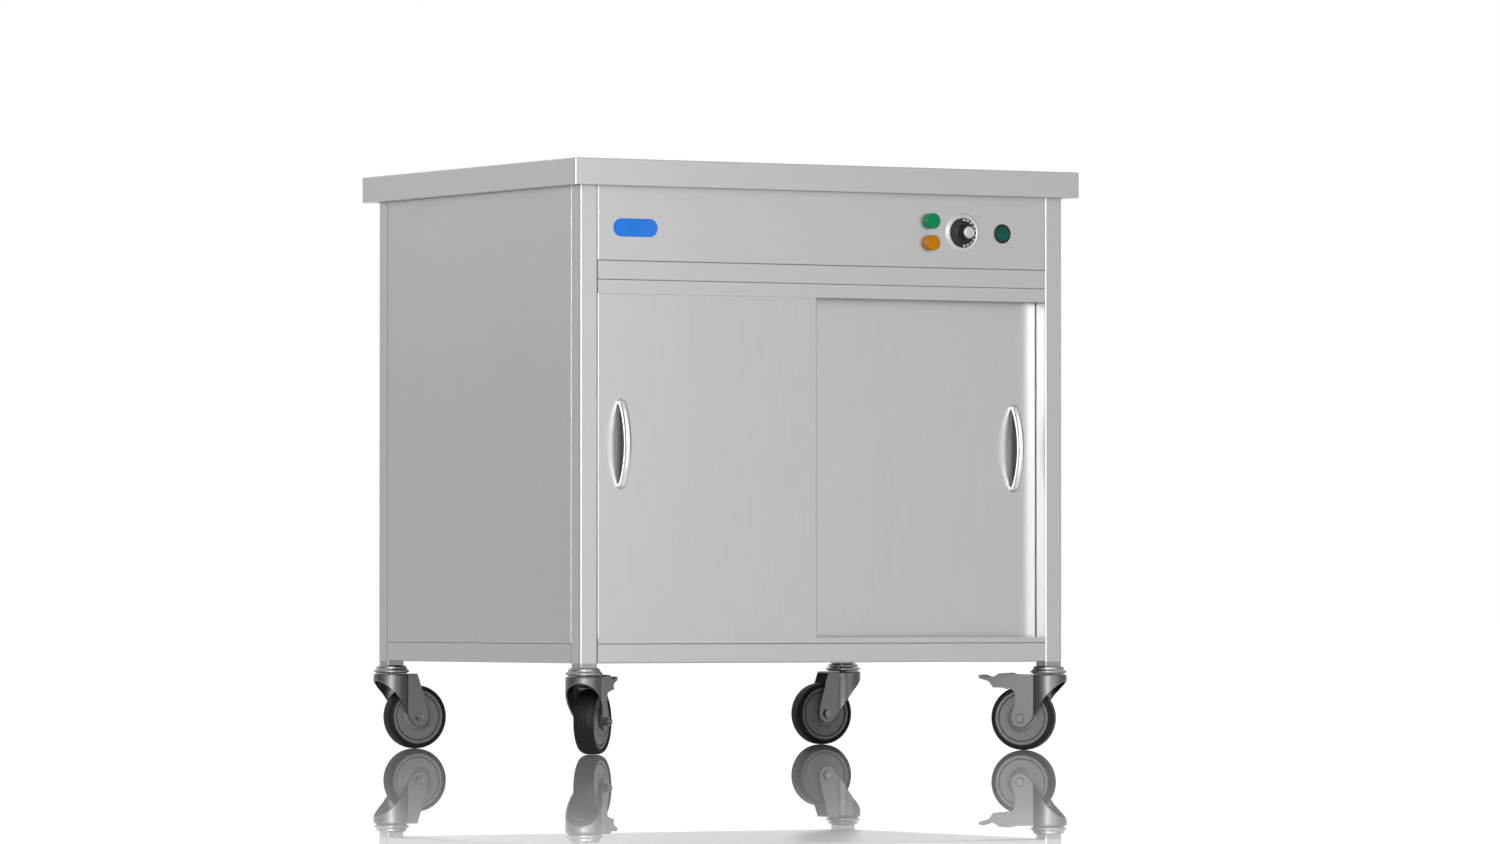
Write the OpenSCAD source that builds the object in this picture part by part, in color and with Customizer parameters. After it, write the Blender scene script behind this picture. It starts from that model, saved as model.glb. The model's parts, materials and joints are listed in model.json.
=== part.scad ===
// Mobile hot cupboard: a heated holding cabinet with two sliding doors, on four swivel castors.
// Origin: on the floor, under the middle of the bounding box. X to the right as seen from the front,
// -Y towards the user, Z up. Millimetres.

/* [Worktop] */
// Width of the worktop
top_w = 895; // [860:5:1200]
// Depth of the worktop
top_d = 700; // [660:5:800]
// Height of the worktop above the floor
height = 900; // [880:5:950]
// Height of the worktop's folded edge
edge_h = 40; // [36:1:50]
// Overhang of the worktop past the body on every side
overhang = 20; // [12:1:24]

/* [Body] */
// Side of the square tube of the frame
tube = 30; // [28:1:32]
// Height of the body's underside above the floor
body_z = 138; // [136:1:142]
// Thickness of the outer sheet
sheet = 1.2; // [1:0.1:1.5]
// Height of the front rail's underside, over the doors
header_z = 717.5; // [700:0.5:730]
// Depth of the visible lip of the top door track
lip_h = 20.5; // [16:0.5:26]
// Height of the upstanding edges of the bottom door track
sill_h = 8; // [6:0.5:10]
// Height of the shelf above the chamber floor
shelf_up = 262; // [200:2:320]

/* [Doors] */
// Thickness of each door
door_t = 22; // [18:1:24]
// Distance of the front door's face behind the body's face
door_inset = 2; // [2:0.5:3]
// Width of the front door, on the left
door_left_w = 383; // [370:1:390]
// Overlap of the doors when both are shut
door_overlap = 20; // [14:1:26]

/* [Handles] */
// Length of each bow handle
handle_l = 136; // [120:2:150]
// Width of each handle
handle_w = 11; // [10:0.5:13]
// Reach of each handle from its door
handle_reach = 27; // [25:0.5:28]
// Height of the middle of the handles above the floor
handle_z = 469.5; // [420:0.5:520]
// Distance of a handle's middle from its door's outer end
handle_in = 40; // [34:1:50]

/* [Controls] */
// Height of the controls' centre line above the floor
panel_z = 802; // [795:1:810]
// Place of the pilot lamps, right of the middle
lamp_x = 188.5; // [150:0.5:200]
// Distance between the two lamps, up and down
lamp_gap = 33.7; // [28:0.1:40]
// Place of the thermostat dial, right of the middle
dial_x = 247; // [235:1:260]
// Place of the push switch, right of the middle
switch_x = 319; // [305:1:330]
// Place of the badge, from the middle (negative is left)
badge_x = -332.5; // [-350:0.5:-250]
// Travel of the switch button
button_travel = 3; // [2:0.5:3]

/* [Castors] */
// Radius of the wheels
wheel_r = 50; // [48:1:50]
// Width of the tyres
tyre_w = 32; // [28:1:32]
// Distance of each axle behind its swivel axis
trail = 40; // [38:1:42]
// Direction that each castor trails in: front left, front right, rear left, rear right
trail_angles = [43, 134, -3, 178];

/* [Hidden] */
$fn = 64;
e = 0.01;                                // overlap that makes a cut clean

body_x = top_w / 2 - overhang;           // half width of the body
body_y = top_d / 2 - overhang;           // half depth of the body
face_y = -body_y;                        // plane of the body's front
in_x = body_x - tube;                    // inner faces of the posts
in_y = body_y - tube;
post_x = body_x - tube / 2;              // centres of the posts
post_y = body_y - tube / 2;
top_sheet = 1.5;                         // sheet of the worktop
frame_top = height - top_sheet;
rail_top = body_z + tube;                // top of the bottom rails
tube_t = 1.5;                            // wall of the tube
tube_r = 2.5;                            // outer corner radius of the tube
apron_z = height - edge_h;
fascia_z = header_z + tube;              // bottom of the control fascia
fascia_top = frame_top - tube;           // the fascia ends under the top rail
liner_t = 1;
floor_z = rail_top + sill_h;             // chamber floor
roof_z = header_z - liner_t;             // underside of the chamber's roof sheet

// Two door planes, one behind the other
door_gap = 4;
front_plane = face_y + door_inset;                 // face of the left door
rear_plane = front_plane + door_t + door_gap;      // face of the right door
track_back = rear_plane + door_t + door_gap;       // back of both tracks
door_z = rail_top + sheet + 2;                     // lower edge of the doors
door_h = header_z - 5.5 - door_z;
door_left_x = -in_x + 1;
door_right_x = door_left_x + door_left_w - door_overlap;
door_right_w = in_x - 0.6 - door_right_x;

// Controls
lens_r = 12;
lens_out = 12;
dial_r = 30;
knob_r = 22.2;
knob_out = 20;
knob_gap = 0.6;                          // between the knob's back and the fascia
cap_seat = 1.2;                          // the cap sits this far under the knob's front
spindle_r = 3;
switch_rim_r = 15;

axle_z = wheel_r;
plate_z = 118;                           // top of the fork's head
plate_t = 2.5;
head_r = 28.5;                           // outer radius of the fork's head
leg_out = 20.7;                          // outer faces of the legs
leg_in = leg_out - plate_t;
axle_r = 4;
rim_r = 42.5;                            // where the tyre meets the wheel centre
pin_r = 5;                               // king pin
pedal_pin = [46, 110];                   // pedal's hinge, behind and above the axle

// ---------------------------------------------------------------- shapes that repeat

// Rectangle with round corners, centred
module round_rect(w, d, r) {
    square([w - 2 * r, d], center = true);
    square([w, d - 2 * r], center = true);
    for (x = [-1, 1], y = [-1, 1])
        translate([x * (w / 2 - r), y * (d / 2 - r)]) circle(r);
}

// Box given by its lowest and highest corners
module block(low, high) translate(low) cube(high - low);

// Length of square tube along Z, open at both ends
module square_tube(l)
    linear_extrude(l) difference() {
        round_rect(tube, tube, tube_r);
        round_rect(tube - 2 * tube_t, tube - 2 * tube_t, tube_r - tube_t);
    }

// Rail between two points along X or along Y, given by its middle
module rail_x(l, y, z) translate([-l / 2, y, z]) rotate([0, 90, 0]) square_tube(l);
module rail_y(l, x, z) translate([x, l / 2, z]) rotate([90, 0, 0]) square_tube(l);

// Cylinder whose axis runs from a point towards -Y, out of the front
module forward(x, y, z, r, l) translate([x, y, z]) rotate([90, 0, 0]) cylinder(r = r, h = l);

// Stadium with its long side along Z, standing out towards -Y from a point
module upright_pill(x, y, z, w, l, t)
    translate([x, y, z]) rotate([90, 0, 0]) linear_extrude(t) {
        square([w, l - w], center = true);
        for (s = [-1, 1]) translate([0, s * (l - w) / 2]) circle(w / 2);
    }

// ---------------------------------------------------------------- frame

module corner_posts() color("silver")
    for (x = [-1, 1], y = [-1, 1])
        translate([x * post_x, y * post_y, body_z]) square_tube(frame_top - body_z);

module bottom_frame() color("silver") {
    for (s = [-1, 1]) rail_x(2 * in_x, s * post_y, body_z + tube / 2);
    for (s = [-1, 1]) rail_y(2 * in_y, s * post_x, body_z + tube / 2);
}

// The four rails under the worktop, and the front rail over the doors
module top_frame() color("silver") {
    for (s = [-1, 1]) rail_x(2 * in_x, s * post_y, frame_top - tube / 2);
    for (s = [-1, 1]) rail_y(2 * in_y, s * post_x, frame_top - tube / 2);
    rail_x(2 * in_x, -post_y, header_z + tube / 2);
}

// ---------------------------------------------------------------- casing

// Folded sheet tray, open below, with a return lip round its lower edge
module worktop() {
    fold_r = 2;
    lip = 16;
    color("gainsboro") difference() {
        union() {
            translate([0, 0, apron_z]) linear_extrude(edge_h - fold_r) round_rect(top_w, top_d, fold_r);
            // the fold along the top edge, rounded on all four sides
            translate([0, 0, height - fold_r]) {
                linear_extrude(fold_r) round_rect(top_w - 2 * fold_r, top_d - 2 * fold_r, e);
                for (s = [-1, 1]) translate([s * (top_w / 2 - fold_r), 0, 0]) rotate([90, 0, 0])
                    cylinder(r = fold_r, h = top_d - 2 * fold_r, center = true);
                for (s = [-1, 1]) translate([0, s * (top_d / 2 - fold_r), 0]) rotate([0, 90, 0])
                    cylinder(r = fold_r, h = top_w - 2 * fold_r, center = true);
                for (x = [-1, 1], y = [-1, 1])
                    translate([x * (top_w / 2 - fold_r), y * (top_d / 2 - fold_r), 0]) sphere(fold_r);
            }
        }
        block([-top_w / 2 + sheet, -top_d / 2 + sheet, apron_z + sheet],
              [top_w / 2 - sheet, top_d / 2 - sheet, frame_top]);
        block([-top_w / 2 + lip, -top_d / 2 + lip, apron_z - 1],
              [top_w / 2 - lip, top_d / 2 - lip, apron_z + 2 * sheet]);
    }
}

// Side panel: a tray of sheet between two posts, its turned edges against them
module side_panel(side) {
    fold = 12;
    w = 2 * in_y;
    h = fascia_top - rail_top;
    color("silver") translate([side * body_x, 0, rail_top + h / 2]) rotate([0, 0, side * 90])
        difference() {
            translate([0, fold / 2, 0]) cube([w, fold, h], center = true);
            translate([0, fold / 2 + sheet, 0]) cube([w - 2 * sheet, fold, h - 2 * sheet], center = true);
            for (s = [-1, 1]) rounded_edge_cut(s * w / 2, h, tube_r / 2);
        }
}

// What a bend of radius r takes off a vertical edge of a tray whose face is at y = 0
module rounded_edge_cut(x, h, r) {
    s = sign(x);
    translate([x - s * r, r, 0]) difference() {
        translate([s * (r + 1) / 2, -(r + 1) / 2, 0]) cube([r + 1, r + 1, h + 2], center = true);
        cylinder(r = r, h = h + 4, center = true);
    }
}

module back_panel() {
    fold = 12;
    w = 2 * in_x;
    h = fascia_top - rail_top;
    color("silver") difference() {
        translate([0, body_y - fold / 2, rail_top + h / 2]) cube([w, fold, h], center = true);
        translate([0, body_y - fold / 2 - sheet, rail_top + h / 2])
            cube([w - 2 * sheet, fold, h - 2 * sheet], center = true);
        translate([gland_x, body_y + 1, gland_z]) rotate([90, 0, 0]) cylinder(r = gland_r, h = fold);
    }
}

// Pan that closes the body from below, its edges turned up against the rails
module base_pan() {
    fold = 15;
    color("silver") difference() {
        block([-in_x, -in_y, body_z], [in_x, in_y, body_z + fold]);
        block([-in_x + sheet, -in_y + sheet, body_z + sheet],
              [in_x - sheet, in_y - sheet, body_z + fold + 1]);
    }
}

// ---------------------------------------------------------------- heated chamber

liner_back = in_y - liner_t - 0.5;        // front face of the chamber's back wall, clear of the posts

// One sheet folded round the left, back and right of the chamber
module chamber_liner() color("lightgray")
    difference() {
        block([-in_x - liner_t, -in_y, floor_z], [in_x + liner_t, liner_back + liner_t, roof_z]);
        block([-in_x, -in_y - 1, floor_z - 1], [in_x, liner_back, roof_z + 1]);
    }

// Floor sheet with rows of vents over the heating element
module chamber_floor() {
    vent = [120, 8];
    vent_pitch = [190, 60];
    rows_back = 20;                      // how far the rows stand behind the chamber's middle
    color("lightgray") difference() {
        union() {
            block([-in_x, track_back, floor_z - liner_t], [in_x, liner_back, floor_z]);
            // front edge turned down onto the base pan, between its upstanding edges
            block([-in_x + sheet, track_back, body_z + sheet], [in_x - sheet, track_back + liner_t, floor_z]);
        }
        for (x = [-1.5 : 1.5], y = [-3 : 3])
            translate([x * vent_pitch[0], y * vent_pitch[1] + rows_back, floor_z - 3]) linear_extrude(6)
                round_rect(vent[0], vent[1], vent[1] / 2 - e);
    }
}

module chamber_roof() color("lightgray")
    block([-in_x, track_back, roof_z], [in_x, liner_back, header_z]);

// Mineral wool slabs in the two sides, the back and over the chamber
module insulation() {
    gap = 0.5;                               // to the sheets on both sides of a slab
    side_t = tube - sheet - liner_t - 2 * gap;
    roof_t = 20;
    color("khaki") {
        for (s = [-1, 1])
            translate([s * (body_x - sheet - gap - side_t / 2), 0, (floor_z + roof_z) / 2])
                cube([side_t, 2 * (in_y - 2), roof_z - floor_z], center = true);
        block([-in_x + 2, liner_back + liner_t + gap, floor_z], [in_x - 2, body_y - sheet - gap, roof_z]);
        block([-in_x + 4, track_back + 6, header_z], [in_x - 4, liner_back - 4, header_z + roof_t]);
    }
}

module shelf_supports() {
    leg = 24;
    z = floor_z + shelf_up;
    color("lightgray") for (s = [-1, 1]) {
        block([min(s * in_x, s * (in_x - sheet)), track_back + 20, z - leg],
              [max(s * in_x, s * (in_x - sheet)), liner_back - 12, z]);
        block([min(s * in_x, s * (in_x - leg)), track_back + 20, z - sheet],
              [max(s * in_x, s * (in_x - leg)), liner_back - 12, z]);
    }
}

// Loose shelf: a tray turned down at front and back, with vent slots
module shelf() {
    fold = 25;
    slot = [110, 9];
    slot_pitch = [185, 62];
    z = floor_z + shelf_up;
    y0 = track_back + 10;
    y1 = liner_back - 6;
    x1 = in_x - 3;
    color("gainsboro") difference() {
        block([-x1, y0, z], [x1, y1, z + fold]);
        block([-x1 - 1, y0 + sheet, z - 1], [x1 + 1, y1 - sheet, z + fold - sheet]);
        for (x = [-1.5 : 1.5], y = [-3 : 3])
            translate([x * slot_pitch[0], y * slot_pitch[1] + 10, z + fold - 4]) linear_extrude(8)
                round_rect(slot[0], slot[1], slot[1] / 2 - 0.1);
    }
}

// Tubular element: four runs joined by bends, on two brackets, with a terminal pin at each end
module heating_element() {
    r = 4;
    z = body_z + 18;
    run = 300;
    pitch = 70;
    y0 = -140;
    pin_l = 30;
    bracket_x = 200;
    bracket_w = 12;
    color("dimgray") {
        for (i = [0 : 3])
            translate([-run, y0 + i * pitch, z]) rotate([0, 90, 0]) cylinder(r = r, h = 2 * run);
        for (i = [0, 2]) translate([run, y0 + (i + 0.5) * pitch, z]) rotate([0, 0, -90])
            rotate_extrude(angle = 180) translate([pitch / 2, 0]) circle(r);
        translate([-run, y0 + 1.5 * pitch, z]) rotate([0, 0, 90])
            rotate_extrude(angle = 180) translate([pitch / 2, 0]) circle(r);
        for (i = [0, 3])
            translate([-run - pin_l, y0 + i * pitch, z]) rotate([0, 90, 0]) cylinder(r = 1.8, h = pin_l);
        for (x = [-bracket_x, bracket_x])
            block([x - bracket_w / 2, y0 - bracket_w, body_z + sheet],
                  [x + bracket_w / 2, y0 + 3 * pitch + bracket_w, z - r]);
    }
}

// ---------------------------------------------------------------- door tracks

// Double channel: a web and three lips, one in front, one between the doors, one behind
module track(web_z, lips_z) {
    middle = front_plane + door_t + (door_gap - sheet) / 2;
    block([-in_x, face_y, web_z[0]], [in_x, track_back, web_z[1]]);
    for (y = [face_y, middle, track_back - sheet])
        block([-in_x, y, lips_z[0]], [in_x, y + sheet, lips_z[1]]);
}

module top_track() color("silver")
    track([header_z - sheet, header_z], [header_z - lip_h, header_z]);

module bottom_track() color("silver")
    track([rail_top, rail_top + sheet], [rail_top, rail_top + sill_h]);

// ---------------------------------------------------------------- doors

// Outer pan of a door, folded back on all four sides
module door_skin(x, y, w) {
    fold_r = 1.5;
    color("gainsboro") translate([x + w / 2, y, door_z + door_h / 2]) difference() {
        translate([0, (door_t - sheet) / 2, 0]) cube([w, door_t - sheet, door_h], center = true);
        translate([0, door_t / 2 + sheet, 0])
            cube([w - 2 * sheet, door_t, door_h - 2 * sheet], center = true);
        for (s = [-1, 1]) rounded_edge_cut(s * w / 2, door_h, fold_r);
    }
}

// Inner sheet that closes the pan from the chamber's side
module door_back(x, y, w) color("lightgray")
    block([x, y + door_t - sheet, door_z], [x + w, y + door_t, door_z + door_h]);

// Nylon shoes: two under the lower edge and two over the upper edge, inside the door's thickness
module door_glides(x, y, w) {
    shoe = [40, 8, 1.5];
    head = [40, 8, 3];
    shoe_in = 30;                            // from the door's ends
    shoe_y = (door_t - shoe[1]) / 2;
    color("white") for (s = [0, 1]) {
        place = x + shoe_in + s * (w - 2 * shoe_in - shoe[0]);
        translate([place, y + shoe_y, door_z - shoe[2]]) cube(shoe);
        translate([place, y + shoe_y, door_z + door_h]) cube(head);
    }
}

// Bow handle cast in one piece: back plate, two feet and the bow between them
module bow_handle(x, y) {
    plate_t = 2;
    bow_r = handle_w / 2;
    depth_r = 4;                                        // half thickness of the bow
    sweep_l = handle_l - handle_w - 2;                  // between the feet's centres
    foot = 9;                                           // height of the feet
    rise = handle_reach - depth_r - foot;
    arc_r = (pow(sweep_l / 2, 2) + rise * rise) / (2 * rise);
    half = asin(sweep_l / 2 / arc_r);
    color("silver") {
        upright_pill(x, y, handle_z, handle_w, handle_l, plate_t);
        // the bow is an arc in the YZ plane, oval across
        translate([x, y - handle_reach + depth_r + arc_r, handle_z]) rotate([0, 90, 0])
            rotate([0, 0, -90 - half]) rotate_extrude(angle = 2 * half, $fn = 96)
                translate([arc_r, 0]) bow_section(depth_r, bow_r);
        for (s = [-1, 1])
            translate([x, y, handle_z + s * sweep_l / 2]) rotate([90, 0, 0]) {
                cylinder(r = bow_r, h = foot);
                translate([0, 0, foot]) sphere(bow_r);
            }
    }
}

// Section of the bow: flat towards the door, round outside
module bow_section(depth_r, half_w) {
    corner = 3.4;
    for (s = [-1, 1]) translate([depth_r - corner, s * (half_w - corner)]) circle(corner);
    translate([-depth_r + 1, -half_w + 1]) square([2 * depth_r - 1 - corner, 2 * half_w - 2]);
    translate([depth_r - 2 * corner, -half_w + corner]) square([2 * corner, 2 * half_w - 2 * corner]);
    for (s = [-1, 1]) translate([-depth_r + 1, s * (half_w - 1)]) circle(1);
    translate([-depth_r, -half_w + 1]) square([1, 2 * half_w - 2]);
    translate([-depth_r + 1, -half_w]) square([2 * depth_r - 1 - corner, 2 * half_w]);
}

// ---------------------------------------------------------------- controls

lamp_zs = [panel_z + lamp_gap / 2, panel_z - lamp_gap / 2];
hole_r = 8;                               // lamp body through the fascia
switch_hole_r = 13;
button_back = 6;                          // button's back end, behind the fascia's face
button_out = 2.4;                         // button's face, in front of the fascia's face

module control_fascia() {
    fold = 12;
    h = fascia_top - fascia_z;
    color("gainsboro") difference() {
        translate([0, face_y, fascia_z + h / 2]) difference() {
            translate([0, fold / 2, 0]) cube([2 * in_x, fold, h], center = true);
            translate([0, fold / 2 + sheet, 0])
                cube([2 * in_x - 2 * sheet, fold, h - 2 * sheet], center = true);
            for (s = [-1, 1]) rounded_edge_cut(s * in_x, h, tube_r - 0.5);
        }
        for (z = lamp_zs) forward(lamp_x, face_y + 2 * sheet, z, hole_r, 4 * sheet);
        forward(dial_x, face_y + 2 * sheet, panel_z, 6, 4 * sheet);
        forward(switch_x, face_y + 2 * sheet, panel_z, switch_hole_r, 4 * sheet);
    }
}

// Lens with a groove behind its rim
module lamp_lens(z) {
    base = 5;
    groove = 1;
    difference() {
        union() {
            forward(lamp_x, face_y, z, lens_r, base);
            forward(lamp_x, face_y, z, lens_r - 1, base + groove + e);
            forward(lamp_x, face_y - base - groove, z, lens_r, lens_out - base - groove - 1);
            translate([lamp_x, face_y - lens_out + 1 + e, z]) rotate([90, 0, 0])
                cylinder(r1 = lens_r, r2 = lens_r - 1, h = 1);
        }
        forward(lamp_x, face_y + e, z, hole_r - 2, 6);
    }
}

module lamp_green() color("seagreen") lamp_lens(lamp_zs[0]);
module lamp_amber() color("darkorange") lamp_lens(lamp_zs[1]);

// Lamp bodies behind the fascia, each with its nut
module lamp_housings() color("ivory") for (z = lamp_zs) difference() {
    union() {
        forward(lamp_x, face_y + 38, z, hole_r - 0.3, 38);
        forward(lamp_x, face_y + sheet + 5, z, 11, 5);
    }
    forward(lamp_x, face_y + 34, z, hole_r - 2.5, 40);
}

// Thermostat body with its collar in the fascia, and the capillary's bulb in the chamber
module thermostat() {
    half = 24;
    color("darkgray") {
        difference() {
            union() {
                block([dial_x - half, face_y + sheet + 2, panel_z - half],
                      [dial_x + half, face_y + sheet + 34, panel_z + half]);
                forward(dial_x, face_y + sheet + 2.5, panel_z, 5.8, sheet + 2.5);
            }
            forward(dial_x, face_y + 30, panel_z, spindle_r + 0.06, 40);
        }
        translate([in_x - 8, liner_back - 30, roof_z - 30]) rotate([90, 0, 0]) cylinder(r = 3, h = 90);
    }
}

module dial_bezel() color("silver") translate([dial_x, face_y, panel_z]) rotate([90, 0, 0])
    rotate_extrude($fn = 96)
        difference() {
            union() {
                translate([knob_r + 0.8, 0]) square([dial_r - knob_r - 0.8, 1.6]);
                translate([knob_r + 0.8, 0]) square([dial_r - knob_r - 2.4, 3.2]);
                translate([dial_r - 1.6, 1.6]) circle(1.6);
            }
            translate([26.6, 4.6]) circle(2.2);
        }

module dial_spindle() color("darkgray") forward(dial_x, face_y + 20, panel_z, spindle_r, 34);

// Skirted knob: low skirt, waisted grip and a socket for the cap
module dial_knob() color("#1c1c1c") translate([dial_x, face_y - knob_gap, panel_z]) rotate([90, 0, 0])
    difference() {
        rotate_extrude($fn = 96) polygon([
            [0, 0], [knob_r - 0.6, 0], [knob_r, 0.6], [knob_r, 2.6], [knob_r - 0.8, 3.4],
            [17, 4.2], [12.6, 5.4], [11.4, 7], [10.6, 17.6], [10.1, knob_out - cap_seat - 0.4],
            [9.6, knob_out - cap_seat], [0, knob_out - cap_seat]]);
        translate([0, 0, -1]) cylinder(r = spindle_r, h = 14.4);
    }

module dial_cap() color("silver")
    translate([dial_x, face_y - knob_gap - knob_out + cap_seat, panel_z]) rotate([90, 0, 0]) {
        cylinder(r = 9.2, h = 0.7);
        cylinder(r = 8.6, h = cap_seat);
    }

// Bezel and body of the push switch
module switch_housing() color("#242222") difference() {
    union() {
        forward(switch_x, face_y + 32, panel_z, switch_hole_r - 0.3, 32);
        forward(switch_x, face_y, panel_z, switch_rim_r, 1.4);
        translate([switch_x, face_y - 1.4 + e, panel_z]) rotate([90, 0, 0])
            cylinder(r1 = switch_rim_r, r2 = switch_rim_r - 1.2, h = 1);
    }
    // room behind the button for its travel
    forward(switch_x, face_y + button_back + button_travel + 1, panel_z, 12, 20);
}

module switch_button() color("#15564a") {
    forward(switch_x, face_y + button_back, panel_z, 11.7, button_back + button_out);
}

// Plain pill plate with a raised rim
module badge() {
    size = [76.5, 27.4];
    rim = 2;
    below = 5;                               // its middle, below the controls' centre line
    color("#2473d2") translate([badge_x, face_y, panel_z - below]) rotate([90, 0, 0]) difference() {
        linear_extrude(1.2) {
            square([size[0] - size[1], size[1]], center = true);
            for (s = [-1, 1]) translate([s * (size[0] - size[1]) / 2, 0]) circle(size[1] / 2);
        }
        translate([0, 0, 0.8]) linear_extrude(1) {
            square([size[0] - size[1], size[1] - 2 * rim], center = true);
            for (s = [-1, 1]) translate([s * (size[0] - size[1]) / 2, 0]) circle(size[1] / 2 - rim);
        }
    }
}

// ---------------------------------------------------------------- electrics and fasteners

gland_x = 330;
gland_z = 780;
gland_r = 10.2;
gland_out = handle_reach - door_inset;    // the gland reaches as far behind as the handles do in front
cable_r = 4.75;

module cable_gland() color("#2a2a2a") difference() {
    union() {
        translate([gland_x, body_y + gland_out, gland_z]) rotate([90, 0, 0])
            cylinder(r = gland_r - 0.2, h = gland_out + 14);
        translate([gland_x, body_y + 6, gland_z]) rotate([90, 0, 0]) cylinder(r = 14, h = 6, $fn = 6);
        translate([gland_x, body_y + gland_out - 2, gland_z]) rotate([90, 0, 0])
            cylinder(r = 13, h = gland_out - 10, $fn = 6);
        translate([gland_x, body_y - sheet, gland_z]) rotate([90, 0, 0]) cylinder(r = 14, h = 5, $fn = 6);
    }
    translate([gland_x, body_y + gland_out + 1, gland_z]) rotate([90, 0, 0])
        cylinder(r = cable_r, h = gland_out + 20);
}

module terminal_block() color("ivory")
    translate([gland_x - 90, in_y - 40, header_z + 20]) difference() {
        cube([60, 22, 20]);
        for (i = [0 : 4]) translate([6 + i * 12, 11, 12]) cylinder(r = 3, h = 10);
    }

// Pan-head screws round the edge of the back panel; their shanks end inside it, clear of the insulation
module panel_screws() {
    inset = 12;
    shank = sheet + 0.3;
    zs = [rail_top + inset, (rail_top + fascia_top) / 2, fascia_top - inset];
    xs = [-in_x + inset, 0, in_x - inset];
    color("silver")
        for (x = xs, z = zs) if (x != 0 || z != zs[1])
            translate([x, body_y, z]) rotate([-90, 0, 0]) {
                cylinder(r1 = 4, r2 = 3.2, h = 1.8);
                translate([0, 0, -shank]) cylinder(r = 1.5, h = shank);
            }
}

// ---------------------------------------------------------------- castors

corners = [[-post_x, -post_y], [post_x, -post_y], [-post_x, post_y], [post_x, post_y]];

// Puts a castor under its corner: its own X runs from the swivel axis towards the axle
module at_castor(i) translate([corners[i][0], corners[i][1], 0]) rotate([0, 0, trail_angles[i]])
    children();

// Outline in the castor's own XZ plane, extruded across it to t either side
module across(t) rotate([90, 0, 0]) linear_extrude(2 * t, center = true) children();

// Plug in the post, square flange, stepped dome and king pin, in one
module castor_stem() {
    flange_z = 131.3;
    difference() {
        translate([0, 0, body_z - e]) linear_extrude(42)
            round_rect(tube - 2 * tube_t - 0.4, tube - 2 * tube_t - 0.4, 1);
        translate([0, 0, body_z + 6]) linear_extrude(40)
            round_rect(tube - 2 * tube_t - 6, tube - 2 * tube_t - 6, 1);
    }
    translate([0, 0, flange_z]) linear_extrude(body_z - flange_z) round_rect(29, 29, 2);
    rotate_extrude() polygon([
        [0, plate_z + 0.6], [24.4, plate_z + 0.6], [25, 120], [27.8, 120.6], [28.6, 121.6],
        [28.6, 122.6], [27.8, 123.6], [25.6, 125.2], [24.6, 126.4], [24.6, 127.2], [24.2, 128.6],
        [22.8, 130], [20.5, 131], [18, flange_z], [0, flange_z]]);
    translate([0, 0, plate_z - plate_t - 3.8]) {
        cylinder(r = pin_r, h = 5);
        cylinder(r = 10, h = 3.5);
    }
    translate([0, 0, plate_z - plate_t - 1]) cylinder(r = pin_r, h = plate_t + 2);
}

module castor_stems() color("gray") for (p = corners) translate([p[0], p[1], 0]) castor_stem();

// Side outline of the fork: head, slanted front edge, leg and round end
front_edge = [[-head_r, 109], [-16, 98.5], [-3, 86], [9, 69], [20.5, 51]];
plain_edge = [[54, 56], [48, 81], [35.5, plate_z]];
braked_edge = [[54, 56], [49, 70], [49, 88], [52, 93], [57, 96.5], [62, 94.8], [70, 97.2],
               [82, 97.5], [82.5, 101.5], [55.6, plate_z]];

module fork_outline(back_edge) {
    polygon(concat([[-head_r, plate_z]], front_edge, [[29.5, 40]], back_edge));
    translate([trail, axle_z]) circle(14.3);
}

// Pressed fork: round head, two flat legs, and a top plate that ends behind the head
module fork(braked) {
    plate_end = braked ? 38 : 60;
    inner_r = head_r - plate_t;
    difference() {
        intersection() {
            union() {
                rotate_extrude() polygon([[0, 30], [head_r, 30], [head_r, plate_z - 2.6],
                    [head_r - 0.8, plate_z - 0.8], [head_r - 2.6, plate_z], [0, plate_z]]);
                block([0, -leg_out, 30], [90, leg_out, plate_z]);
            }
            across(head_r + 1) fork_outline(braked ? braked_edge : plain_edge);
        }
        translate([0, 0, 20]) cylinder(r = inner_r, h = plate_z - plate_t - 20);
        block([0, -leg_in, 20], [100, leg_in, plate_z - plate_t]);
        block([plate_end, -leg_in, 20], [100, leg_in, plate_z + 1]);
        translate([0, 0, 100]) cylinder(r = pin_r + 0.08, h = 30);
        translate([trail, 0, axle_z]) rotate([90, 0, 0]) cylinder(r = axle_r, h = 60, center = true);
    }
    if (braked) translate([pedal_pin[0], 0, pedal_pin[1]]) rotate([90, 0, 0])
        cylinder(r = 2.5, h = 2 * leg_in, center = true);
}

// Axle bolt with its head on the +Y side and its nut on the other
module axle() {
    head_h = 5;
    nut_h = 6.5;
    translate([trail, 0, axle_z]) rotate([-90, 0, 0]) {
        translate([0, 0, -leg_out - nut_h - 4]) cylinder(r = axle_r, h = 2 * leg_out + nut_h + 4);
        translate([0, 0, leg_out]) cylinder(r = 7.4, h = head_h - 1.2);
        translate([0, 0, leg_out + head_h - 1.2]) cylinder(r1 = 7.4, r2 = 6, h = 1.2);
        translate([0, 0, -leg_out - nut_h]) difference() {
            cylinder(r = 7.5, h = nut_h, $fn = 6);
            translate([0, 0, -1]) cylinder(r = axle_r - e, h = nut_h + 2);
        }
    }
}

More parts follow.
